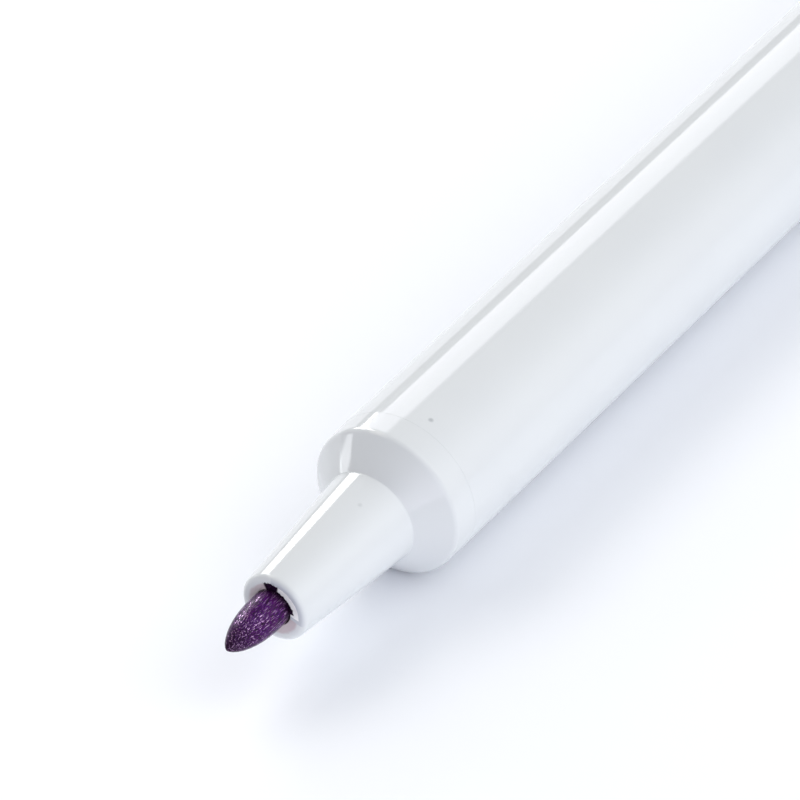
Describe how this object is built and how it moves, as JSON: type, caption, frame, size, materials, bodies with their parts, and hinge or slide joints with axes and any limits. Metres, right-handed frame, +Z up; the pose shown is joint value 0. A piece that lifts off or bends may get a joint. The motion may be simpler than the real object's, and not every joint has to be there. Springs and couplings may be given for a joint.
{
  "type": "fabric marker",
  "caption": "Slim fabric marker lying on its side: bullet fibre nib, tapered nose, straight white barrel with ink reservoir, end plug, and a clip cap posted on its back end.",
  "frame": {"origin": "on the table, under the middle of the marker's bounding box, as it lies with its cap posted", "axes": "+X along the marker from the nib to the cap's end, +Z up from the table, the clip to the +Y side"},
  "size_m": [0.1484, 0.0132, 0.0105],
  "materials": {
    "white_plastic": "white polypropylene, smooth gloss",
    "violet_plastic": "violet polypropylene, smooth gloss",
    "inked_fibre": "bonded polyester fibre, wet with violet ink",
    "soaked_fibre": "soft polyester fibre, soaked with violet ink",
    "clear_film": "clear thin film",
    "seal_plastic": "natural polyethylene"
  },
  "bodies": {
    "marker": {"barrel": "white_plastic", "nose_section": "white_plastic", "nib": "inked_fibre", "reservoir_core": "soaked_fibre", "reservoir_film": "clear_film", "end_plug": "violet_plastic"},
    "cap": {"cap_shell": "violet_plastic", "cap_inner_seal": "seal_plastic"}
  },
  "joints": [
    {"name": "cap_pull", "type": "slide", "parent": "marker", "child": "cap", "axis": [1, 0, 0], "range_m": [0, 0.02]}
  ]
}
